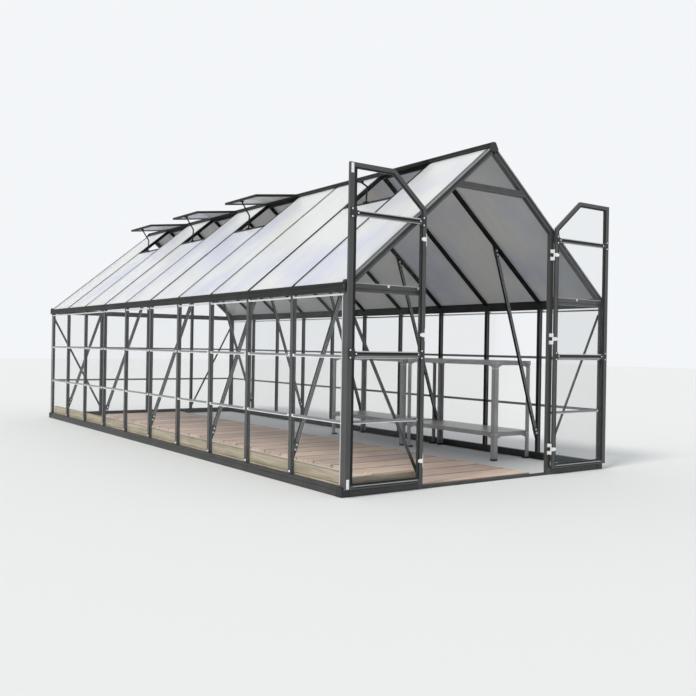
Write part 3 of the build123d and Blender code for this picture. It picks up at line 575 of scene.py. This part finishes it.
# Pale strips of painted highlight beside the corner posts
cornerStrip = {
    "x": (1.2010, 1.2026), "nears": (-2.9765, 2.9985), "width": 0.008, "bottom": 0.07, "top": 1.205,
    "bevel": 0.0005,
}
stripParts = []
for side in sides:
    x0, x1 = (side * x for x in cornerStrip["x"])
    for near in cornerStrip["nears"]:
        low = (x0, near, cornerStrip["bottom"])
        high = (x1, near + cornerStrip["width"], cornerStrip["top"])
        stripParts.append(addBox("strip", low, high, cornerStrip["bevel"]))
cornerStrips = joinPieces("cornerStrips", stripParts)
dress(cornerStrips, materials["paintedEdgeHighlight"])

# Dark strips of painted shade in the grooves and pale strips of painted highlight on the edges, along the
# gable rafters and ties
gableLine = {
    "sunk": 0.0004, "proud": 0.0009, "width": 0.004, "bevel": 0.0003, "grooveDepth": 0.023,
    "edgeDepth": 0.004, "topX": 0.030, "short": 0.02, "grooveZ": 1.248, "edgeZ": 1.281, "tieX": 1.172,
    "tieStop": {-1: 0.626, 1: 0.02},
}
halfLine = gableLine["width"] / 2
halfRun = ((house["wallX"] - gableLine["topX"]) / math.cos(slope) - gableLine["short"]) / 2
rafterX = (house["wallX"] + gableLine["topX"]) / 2
rafterZ = house["apex"] - math.tan(slope) * rafterX
grooveParts = []
edgeParts = []
for end, faceY in gables:
    y0 = faceY - end * gableLine["sunk"]
    y1 = faceY + end * gableLine["proud"]
    for side in sides:
        onRafter = Matrix.Translation((side * rafterX, 0, rafterZ)) @ Matrix.Rotation(side * slope, 4, "Y")
        for depth, parts in ((gableLine["grooveDepth"], grooveParts), (gableLine["edgeDepth"], edgeParts)):
            low = (-halfRun, y0, -depth - halfLine)
            high = (halfRun, y1, -depth + halfLine)
            strip = addBox("strip", low, high, gableLine["bevel"])
            strip.data.transform(onRafter)
            parts.append(strip)
        x0 = side * gableLine["tieX"]
        x1 = side * gableLine["tieStop"][end]
        for z, parts in ((gableLine["grooveZ"], grooveParts), (gableLine["edgeZ"], edgeParts)):
            parts.append(addBox("strip", (x0, y0, z - halfLine), (x1, y1, z + halfLine), gableLine["bevel"]))
grooveLines = joinPieces("grooveLines", grooveParts)
dress(grooveLines, materials["rubberAndGrooveShade"])
edgeLines = joinPieces("edgeLines", edgeParts)
dress(edgeLines, materials["paintedEdgeHighlight"])
print("capping and gable lines placed")

# Knee struts: end plates on both faces with two bolts each, and pale lips along the bars that paint
# highlights on the channel edges
struts = {
    "headX": 0.658, "footZ": 0.190, "barDepth": 0.030, "half": 0.010, "plate": (0.062, 0.030, 0.0025),
    "plateIn": 0.045, "plateBevel": 0.0012, "boltStep": 0.016, "boltScale": 0.8, "lip": 0.003,
    "lipShort": 0.16, "lipProud": 0.0007, "lipSunk": 0.0002, "lipBevel": 0.0003,
    "lipSteps": (-0.0105, 0.0, 0.0105),
}
headZ = house["apex"] - math.tan(slope) * struts["headX"] - struts["barDepth"] / math.cos(slope)
plateWide, plateHigh, plateThick = struts["plate"]
plateSpots = []
boltSpots = []
lipSpots = []
for side in sides:
    head = Vector((side * struts["headX"], 0, headZ))
    foot = Vector((side * house["innerX"], 0, struts["footZ"]))
    middle = (head + foot) / 2
    way = (foot - head).normalized()
    acrossWay = Vector((-way.z, 0, way.x))
    tilt = Matrix.Rotation(math.atan2(-way.z, way.x), 4, "Y")
    for line in postLines[1:-1:2]:
        for spot in (head + way * struts["plateIn"], foot - way * struts["plateIn"]):
            for face in (-1, 1):
                y = line + face * struts["half"]
                plateSpots.append(Matrix.Translation((spot.x, y, spot.z)) @ tilt)
                for step in (-struts["boltStep"], struts["boltStep"]):
                    at = spot + way * step
                    boltSpots.append(facing((at.x, y + face * plateThick, at.z), (0, face, 0)))
        for step in struts["lipSteps"]:
            for face in (-1, 1):
                at = middle + acrossWay * step
                turn = Matrix.Rotation(0 if face < 0 else math.pi, 4, "X")
                lipSpots.append(Matrix.Translation((at.x, line + face * struts["half"], at.z)) @ tilt @ turn)
plate = addBox(
    "strutPlate", (-plateWide / 2, -plateThick, -plateHigh / 2),
    (plateWide / 2, plateThick, plateHigh / 2), struts["plateBevel"],
)
strutPlates = copyTo("strutPlates", plate, plateSpots)
barWay = (house["innerX"] - struts["headX"], struts["footZ"] - headZ)
lipLength = math.hypot(*barWay) - struts["lipShort"]
lip = addBox(
    "strutLip", (-lipLength / 2, -struts["lipProud"], -struts["lip"] / 2),
    (lipLength / 2, struts["lipSunk"], struts["lip"] / 2), struts["lipBevel"],
)
strutLips = copyTo("strutLips", lip, lipSpots)
dress(strutLips, materials["paintedEdgeHighlight"])
dress(strutPlates, materials["framePaint"])
addBolts("strutBolts", boltSpots, struts["boltScale"])
print("bolts and plates placed")

# Door furniture: screws in brackets and hinges, pale lips with painted highlights and dark strips of painted
# groove shade along the crossbars, hinge tabs
doors = {
    "faceY": -3.045, "bracket": 0.003, "tall": (1.192, 1.149), "hung": (0.636, 0.664), "bracketStep": 0.023,
    "hinges": (0.185, 0.980, 1.585), "hingeX": 0.628, "hingeStep": 0.007, "hingeProud": 0.002,
    "screwScale": 0.62,
}
crossbar = {
    "z": (0.856, 1.695), "half": 0.017, "face": -3.044, "x": (0.6505, 1.159), "sunk": 0.0002,
    "topLip": 0.006, "topProud": 0.0012, "topBevel": 0.0004, "footLip": 0.003, "grooveLow": -0.003,
    "grooveHigh": 0.009, "grooveIn": 0.001, "proud": 0.0008, "bevel": 0.0003,
}
hingeTab = {"x": (0.637, 0.651), "y": (-3.0464, -3.0448), "half": 0.009, "bevel": 0.0005}
for body, side in leaves:
    spots = []
    plateY = doors["faceY"] - doors["bracket"]
    for z in crossbar["z"]:
        for stileX, tongueX in (doors["tall"], doors["hung"]):
            for x, step in ((stileX, -doors["bracketStep"]), (stileX, doors["bracketStep"]), (tongueX, 0.0)):
                spots.append(facing((side * x, plateY, z + step), (0, -1, 0)))
    for z in doors["hinges"]:
        for step in (-doors["hingeStep"], doors["hingeStep"]):
            spot = (side * doors["hingeX"], doors["faceY"] - doors["hingeProud"], z + step)
            spots.append(facing(spot, (0, -1, 0)))
    addBolts(body + "Screws", spots, doors["screwScale"], body)

    left, right = sorted(side * x for x in crossbar["x"])
    back = crossbar["face"] + crossbar["sunk"]
    barLipParts = []
    for z in crossbar["z"]:
        top = z + crossbar["half"]
        low = (left, crossbar["face"] - crossbar["topProud"], top - crossbar["topLip"])
        barLipParts.append(addBox("barLip", low, (right, back, top), crossbar["topBevel"]))
        bottom = z - crossbar["half"]
        low = (left, crossbar["face"] - crossbar["proud"], bottom)
        high = (right, back, bottom + crossbar["footLip"])
        barLipParts.append(addBox("barLip", low, high, crossbar["bevel"]))
    barLips = joinPieces(body + "BarLips", barLipParts)
    grooves = []
    for z in crossbar["z"]:
        low = (left + crossbar["grooveIn"], crossbar["face"] - crossbar["proud"], z + crossbar["grooveLow"])
        high = (right - crossbar["grooveIn"], back, z + crossbar["grooveHigh"])
        grooves.append(addBox("barGroove", low, high, crossbar["bevel"]))
    barGrooves = joinPieces(body + "BarGrooves", grooves)
    dress(barGrooves, materials["rubberAndGrooveShade"], body)

    x0, x1 = (side * x for x in hingeTab["x"])
    y0, y1 = hingeTab["y"]
    tabs = []
    for z in doors["hinges"]:
        low = (x0, y0, z - hingeTab["half"])
        tabs.append(addBox("tab", low, (x1, y1, z + hingeTab["half"]), hingeTab["bevel"]))
    hingeTabs = joinPieces(body + "HingeTabs", tabs)
    dress(hingeTabs, materials["zinc"], body)
    dress(barLips, materials["paintedEdgeHighlight"], body)

# Dark beading in the leaves' recesses, and along their bottom rails a strip of painted groove shade and a
# strip of painted edge highlight
beads = {
    "meet": 1.213, "hinge": 0.6145, "bottom": 0.046, "top": 1.994, "flat": 0.342, "pin": 0.608,
    "tallFace": 0.034, "tall": 0.054, "member": 0.036, "groove": 0.010, "lap": 0.0005, "face": -3.042,
    "thick": 0.0012,
}
railLine = {
    "x": (0.654, 1.156), "y": (-3.0455, -3.0446), "RailGrooveShade": (0.0555, 0.0595),
    "RailEdgeHighlight": (0.0640, 0.0675), "bevel": 0.0003,
}


# Outline of an open leaf, inset from its edges, as X and Z from the middle of the door
def leafRing(meetInset, inset):
    drop = inset / math.cos(slope)
    hinge = beads["hinge"] + inset
    closedHinge = 2 * beads["pin"] - hinge
    slopeAtHinge = beads["top"] - (closedHinge - beads["flat"]) * math.tan(slope) - drop
    knee = 2 * beads["pin"] - (beads["flat"] - (drop - inset) / math.tan(slope))
    meet = beads["meet"] - meetInset
    top = beads["top"] - inset
    bottom = beads["bottom"] + inset
    return [(meet, bottom), (meet, top), (knee, top), (hinge, slopeAtHinge), (hinge, bottom)]


outer = leafRing(beads["tallFace"] + beads["lap"], beads["member"] - beads["groove"] + beads["lap"])
inner = leafRing(beads["tall"] - beads["lap"], beads["member"] - beads["lap"])
corners = len(outer)
ringFaces = [(i, (i + 1) % corners, corners + (i + 1) % corners, corners + i) for i in range(corners)]
for body, side in leaves:
    points = [(side * x, beads["face"], z) for x, z in outer + inner]
    bead = addPlate(body + "Beading", points, ringFaces, -beads["thick"])
    dress(bead, materials["rubberAndGrooveShade"], body)
    x0, x1 = (side * x for x in railLine["x"])
    y0, y1 = railLine["y"]
    for ending, look in (("RailGrooveShade", "rubberAndGrooveShade"), ("RailEdgeHighlight", "paintedEdgeHighlight")):
        z0, z1 = railLine[ending]
        strip = addBox(body + ending, (x0, y0, z0), (x1, y1, z1), railLine["bevel"])
        dress(strip, materials[look], body)

# Screws of the sliding bolts, and of the hinges on the door posts
slideScrew = {
    "plates": (0.052, 1.930), "x": (-1.2035, -1.1885), "y": -3.047, "rows": (0.006, 0.052), "scale": 0.40,
}
hingeScrew = {"x": 0.5965, "proud": 0.002, "step": 0.0263, "scale": 0.42}
slideSpots = []
for low in slideScrew["plates"]:
    for x in slideScrew["x"]:
        for row in slideScrew["rows"]:
            slideSpots.append(facing((x, slideScrew["y"], low + row), (0, -1, 0)))
addBolts("slidingBoltScrews", slideSpots, slideScrew["scale"], "left_door")
hingeSpots = []
for side in sides:
    for z in doors["hinges"]:
        for step in (-hingeScrew["step"], hingeScrew["step"]):
            spot = (side * hingeScrew["x"], house["frontY"] - hingeScrew["proud"], z + step)
            hingeSpots.append(facing(spot, (0, -1, 0)))
addBolts("hingeScrews", hingeSpots, hingeScrew["scale"])
print("door furniture placed")

# Pale strips along the sheets' edges beside the roof bars, painted highlights, left out beside the vents
gaskets = {
    "width": 0.006, "height": 0.0022, "offset": 0.0182, "top": 0.045, "foot": 1.190, "sunk": 0.0024,
    "bevel": 0.0006,
}
sealLength = (gaskets["foot"] - gaskets["top"]) / math.cos(slope)
seal = addBox(
    "seal", (-sealLength / 2, -gaskets["width"] / 2, 0),
    (sealLength / 2, gaskets["width"] / 2, gaskets["height"]), gaskets["bevel"],
)
middleX = (gaskets["foot"] + gaskets["top"]) / 2
middleZ = house["apex"] - math.tan(slope) * middleX
sealSpots = []
for side in sides:
    drop = Matrix.Rotation(side * slope, 4, "Y")
    normal = Vector((side * math.sin(slope), 0, math.cos(slope)))
    for line in postLines[1:-1]:
        for y in (line - gaskets["offset"], line + gaskets["offset"]):
            if side < 0 and any(postLines[bay - 1] < y < postLines[bay] for bay in house["ventBays"]):
                continue
            spot = Vector((side * middleX, y, middleZ)) - normal * gaskets["sunk"]
            sealSpots.append(Matrix.Translation(spot) @ drop)
sheetSeals = copyTo("sheetSeals", seal, sealSpots)
dress(sheetSeals, materials["sheetEdgeHighlight"])
print("sheet edges sealed")

# Vent props: an upright on the sill, an arm to the sash, and a block at either end
props = {
    "foot": (-0.3875, 1.9719), "elbow": (-0.3795, 2.0899), "low": (-0.4387, 2.1176),
    "high": (-0.4619, 2.2128), "lowBay": 2, "radius": 0.0065, "sides": 16, "rounding": 0.35, "lap": 0.004,
    "block": (0.018, 0.020), "footTall": 0.012, "headTall": 0.008, "blockBevel": 0.003,
}


def addRod(name, start, end):
    clearPick()
    way = Vector(end) - Vector(start)
    bpy.ops.mesh.primitive_cylinder_add(
        vertices=props["sides"], radius=props["radius"], depth=way.length, location=(0, 0, 0)
    )
    rod = bpy.context.object
    rod.name = name
    startEdit()
    bpy.ops.mesh.bevel(offset=props["radius"] * props["rounding"], segments=2, affect="EDGES")
    endEdit()
    middle = (Vector(start) + Vector(end)) / 2
    rod.data.transform(facing(middle, way))
    return rod


propParts = []
halfX, halfY = props["block"]
for bay in house["ventBays"]:
    y = (postLines[bay - 1] + postLines[bay]) / 2
    reach = props["low"] if bay == props["lowBay"] else props["high"]
    foot, elbow, head = ((x, y, z) for x, z in (props["foot"], props["elbow"], reach))
    propParts.append(addRod("upright", foot, (elbow[0], y, elbow[2] + props["lap"])))
    propParts.append(addRod("arm", elbow, head))
    for (x, _, z), tall in ((foot, props["footTall"]), (head, props["headTall"])):
        low = (x - halfX, y - halfY, z - tall / 2)
        high = (x + halfX, y + halfY, z + tall / 2)
        propParts.append(addBox("propBlock", low, high, props["blockBevel"]))
ventProps = joinPieces("ventProps", propParts)
dress(ventProps, materials["rubberAndGrooveShade"])
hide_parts("vent_props")
print("vent props fitted")

# Bevelled hoods on the gutters' front and back ends
hoods = {"x": (1.1955, 1.2198), "z": (1.226, 1.300), "length": 0.030, "proud": 0.0045, "bevel": 0.008}
hoodParts = []
for side in sides:
    x0, x1 = (side * x for x in hoods["x"])
    z0, z1 = hoods["z"]
    for end, faceY in gables:
        low = (x0, faceY + end * hoods["proud"], z0)
        high = (x1, faceY - end * hoods["length"], z1)
        hoodParts.append(addBox("hood", low, high, hoods["bevel"]))
gutterHoods = joinPieces("gutterHoods", hoodParts)
dress(gutterHoods, materials["blackPlastic"])

# Black caps on the feet of the roof bars
barCaps = {"width": 0.034, "depth": 0.020, "length": 0.016, "x": 1.2055, "proud": 0.001, "bevel": 0.004}
cap = addBox(
    "barCap", (-barCaps["length"] / 2, -barCaps["width"] / 2, -barCaps["depth"]),
    (barCaps["length"] / 2, barCaps["width"] / 2, barCaps["proud"]), barCaps["bevel"],
)
capZ = house["apex"] - math.tan(slope) * barCaps["x"]
capSpots = []
for side in sides:
    drop = Matrix.Rotation(side * slope, 4, "Y")
    for line in postLines[1:-1]:
        capSpots.append(Matrix.Translation((side * barCaps["x"], line, capZ)) @ drop)
roofBarCaps = copyTo("roofBarCaps", cap, capSpots)
dress(roofBarCaps, materials["blackPlastic"])
print("roof bars capped")

# Benches: curved gussets under the rims, rivets and black feet
benches = {
    "x": (0.7657, 1.1707), "spans": ((-2.3182, -1.2256), (-1.1556, -0.0200)), "topRim": 0.771,
    "shelfRim": 0.195, "foot": 0.016, "footHalf": 0.0215, "footBevel": 0.002, "legHalf": 0.020,
}
gusset = {"size": 0.070, "web": 0.008, "steps": 8, "thick": 0.0025, "in": 0.003, "sideIn": 0.0032}
rivet = {"onRim": 0.018, "onLeg": 0.028, "proud": 0.003, "steps": (0.012, 0.030), "scale": 0.5}


# Straight sides along +X and -Z, with a hollow curve between them
def makeGusset():
    size = gusset["size"]
    reach = size - gusset["web"]
    outline = [(0, 0), (size, 0)]
    for i in range(gusset["steps"] + 1):
        turn = math.pi / 2 * i / gusset["steps"]
        outline.append((size - reach * math.sin(turn), -size + reach * math.cos(turn)))
    outline.append((0, -size))
    points = [(x, 0, z) for x, z in outline]
    return addPlate("gusset", points, [list(range(len(points)))], gusset["thick"])


gussetSpots = []
footSpots = []
rivetSpots = []
quarter = Matrix.Rotation(math.pi / 2, 4, "Z")
mirror = Matrix.Diagonal((1, -1, 1, 1))
rivetRows = (
    (benches["topRim"] + rivet["onRim"], rivet["proud"]),
    (benches["shelfRim"] + rivet["onRim"], rivet["proud"]),
    (benches["topRim"] - rivet["onLeg"], 0.0),
)
for near, far in benches["spans"]:
    for x, sx in zip(benches["x"], (1, -1)):
        for y, sy in ((near, 1), (far, -1)):
            flip = Matrix.Diagonal((sx, sy, 1, 1))
            half = benches["legHalf"]
            footSpots.append(Matrix.Translation((x + sx * half, y + sy * half, 0)))
            for z in (benches["topRim"], benches["shelfRim"]):
                alongX = Matrix.Translation((x + sx * gusset["in"], y + sy * gusset["sideIn"], z))
                alongY = Matrix.Translation((x + sx * gusset["sideIn"], y + sy * gusset["in"], z))
                gussetSpots.append(alongX @ flip)
                gussetSpots.append(alongY @ flip @ quarter @ mirror)
            for z, proud in rivetRows:
                for step in rivet["steps"]:
                    rivetSpots.append(facing((x - sx * proud, y + sy * step, z), (-sx, 0, 0)))
                    rivetSpots.append(facing((x + sx * step, y - sy * proud, z), (0, -sy, 0)))
addBolts("benchRivets", rivetSpots, rivet["scale"])
gussets = copyTo("benchGussets", makeGusset(), gussetSpots)
startEdit()
turnOutward()
endEdit()
dress(gussets, materials["benchPaint"])
footHalf = benches["footHalf"]
foot = addBox(
    "benchFoot", (-footHalf, -footHalf, 0), (footHalf, footHalf, benches["foot"]), benches["footBevel"]
)
benchFeet = copyTo("benchFeet", foot, footSpots)
dress(benchFeet, materials["blackPlastic"])
print("bench details placed")

# Floor, pale surroundings and one soft lamp
studio = {
    "floor": 80.0, "floorZ": -0.0005, "back": (0.90, 0.92, 0.94), "fill": 0.72,
    "fillColour": (0.93, 0.96, 1.0), "sun": 1.7, "sunSpread": 18, "sunColour": (1.0, 0.97, 0.92),
    "sunWay": (0.85, 0.22, -0.95),
}
floorLook = {"colour": (0.80, 0.81, 0.80), "roughness": 0.9, "specular": 0.1}
clearPick()
bpy.ops.mesh.primitive_plane_add(size=studio["floor"], location=(0, 0, studio["floorZ"]))
ground = bpy.context.object
ground.name = "studioFloor"
bpy.ops.object.transform_apply(location=True, rotation=True, scale=True)
ground.data.materials.append(startMaterial("studioFloor", floorLook)[0])

world = bpy.data.worlds.new("studioWorld")
bpy.context.scene.world = world
world.use_nodes = True
sky = world.node_tree
sky.nodes.clear()


def addBackground(colour, strength):
    background = sky.nodes.new("ShaderNodeBackground")
    background.inputs["Color"].default_value = (*colour, 1)
    background.inputs["Strength"].default_value = strength
    return background


# Camera, glossy and transmission rays see the pale backdrop, all others the fill light
path = sky.nodes.new("ShaderNodeLightPath")
seeing = path.outputs["Is Camera Ray"]
for kind in ("Is Glossy Ray", "Is Transmission Ray"):
    larger = mathNode(sky, "MAXIMUM", seeing)
    sky.links.new(path.outputs[kind], larger.inputs[1])
    seeing = larger.outputs["Value"]
lit = addBackground(studio["fillColour"], studio["fill"])
seen = addBackground(studio["back"], 1.0)
blend = sky.nodes.new("ShaderNodeMixShader")
out = sky.nodes.new("ShaderNodeOutputWorld")
sky.links.new(seeing, blend.inputs["Fac"])
sky.links.new(lit.outputs["Background"], blend.inputs[1])
sky.links.new(seen.outputs["Background"], blend.inputs[2])
sky.links.new(blend.outputs["Shader"], out.inputs["Surface"])

sun = bpy.data.objects.new("softSun", bpy.data.lights.new("softSun", "SUN"))
sun.data.energy = studio["sun"]
sun.data.angle = math.radians(studio["sunSpread"])
sun.data.color = studio["sunColour"]
sun.rotation_euler = Vector(studio["sunWay"]).to_track_quat("-Z", "Y").to_euler()
bpy.context.scene.collection.objects.link(sun)
print("studio lit")

# Camera at the photograph's place
shot = {
    "place": (-4.0402, -7.0116, 0.8943), "turn": 0.62001, "tilt": -0.00081, "roll": 0.01692, "focal": 824.8,
    "frame": 696, "sensor": 36, "clip": 200,
}
sinTurn, cosTurn = math.sin(shot["turn"]), math.cos(shot["turn"])
sinTilt, cosTilt = math.sin(shot["tilt"]), math.cos(shot["tilt"])
sinRoll, cosRoll = math.sin(shot["roll"]), math.cos(shot["roll"])
ahead = Vector((sinTurn * cosTilt, cosTurn * cosTilt, sinTilt))
right = Vector((cosTurn, -sinTurn, 0))
up = right.cross(ahead)
rolledRight = right * cosRoll + up * sinRoll
rolledUp = up * cosRoll - right * sinRoll
camera = bpy.data.objects.new("camera", bpy.data.cameras.new("camera"))
camera.data.sensor_width = shot["sensor"]
camera.data.lens = shot["focal"] / shot["frame"] * shot["sensor"]
camera.data.clip_end = shot["clip"]
axes = Matrix((rolledRight, rolledUp, -ahead)).transposed().to_4x4()
camera.matrix_world = Matrix.Translation(shot["place"]) @ axes
bpy.context.scene.collection.objects.link(camera)
bpy.context.scene.camera = camera
bpy.context.scene.view_settings.view_transform = "Standard"
